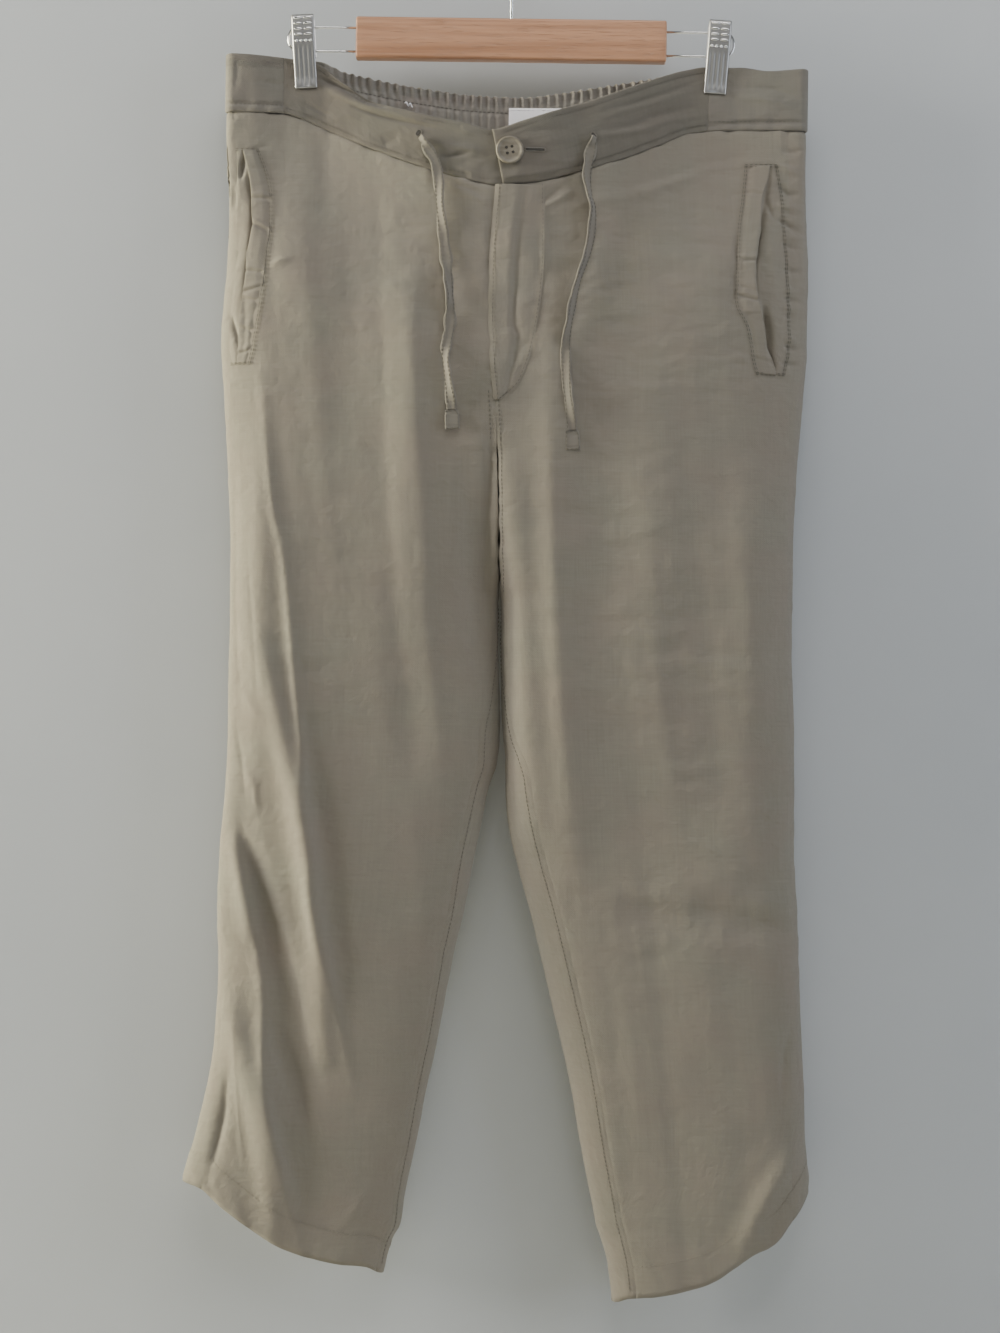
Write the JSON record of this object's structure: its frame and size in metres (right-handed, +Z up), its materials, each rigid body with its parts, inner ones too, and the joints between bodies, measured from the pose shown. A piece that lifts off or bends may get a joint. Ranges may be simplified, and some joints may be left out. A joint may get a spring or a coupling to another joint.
{
  "type": "linen drawstring trousers on a wooden clip hanger",
  "caption": "Straight linen trousers with an elastic back waist and a front drawcord, hanging flat from a wooden hanger with sliding metal clips.",
  "frame": {"origin": "top of the inside of the hanger's hook, where it rests on a rail", "axes": "+Z up, out of the hook's arc; +X to the wearer's left along the hanger; -Y the front of the trousers"},
  "size_m": [0.4996, 0.0705, 1.0996],
  "materials": {
    "linen": "washed plain-weave linen, grey olive khaki, dry and matt with fine slubs",
    "linen_tape": "folded and stitched linen tape, matt",
    "button_horn": "moulded imitation horn, satin",
    "label_white": "white woven satin label, blank",
    "bar_wood": "light brown lacquered wood with fine grain along the bar, satin",
    "steel": "bright plated steel wire and pressed steel"
  },
  "bodies": {
    "root": {"front_right_leg": "linen", "front_left_leg": "linen", "back_right_leg": "linen", "back_left_leg": "linen", "waistband_front_right": "linen", "waistband_front_left": "linen", "waistband_back": "linen", "fly_front": "linen", "pocket_edge_right": "linen", "pocket_edge_left": "linen", "pocket_bag_right": "linen", "pocket_bag_left": "linen", "drawcord_right": "linen_tape", "drawcord_left": "linen_tape", "drawcord_right_end": "linen_tape", "drawcord_left_end": "linen_tape", "button": "button_horn", "label_main": "label_white", "label_size": "label_white", "hanger_bar": "bar_wood", "hanger_hook": "steel", "hanger_loop_right": "steel", "hanger_loop_left": "steel", "clip_front_jaw_right": "steel", "clip_back_jaw_right": "steel", "clip_front_jaw_left": "steel", "clip_back_jaw_left": "steel"}
  },
  "joints": []
}
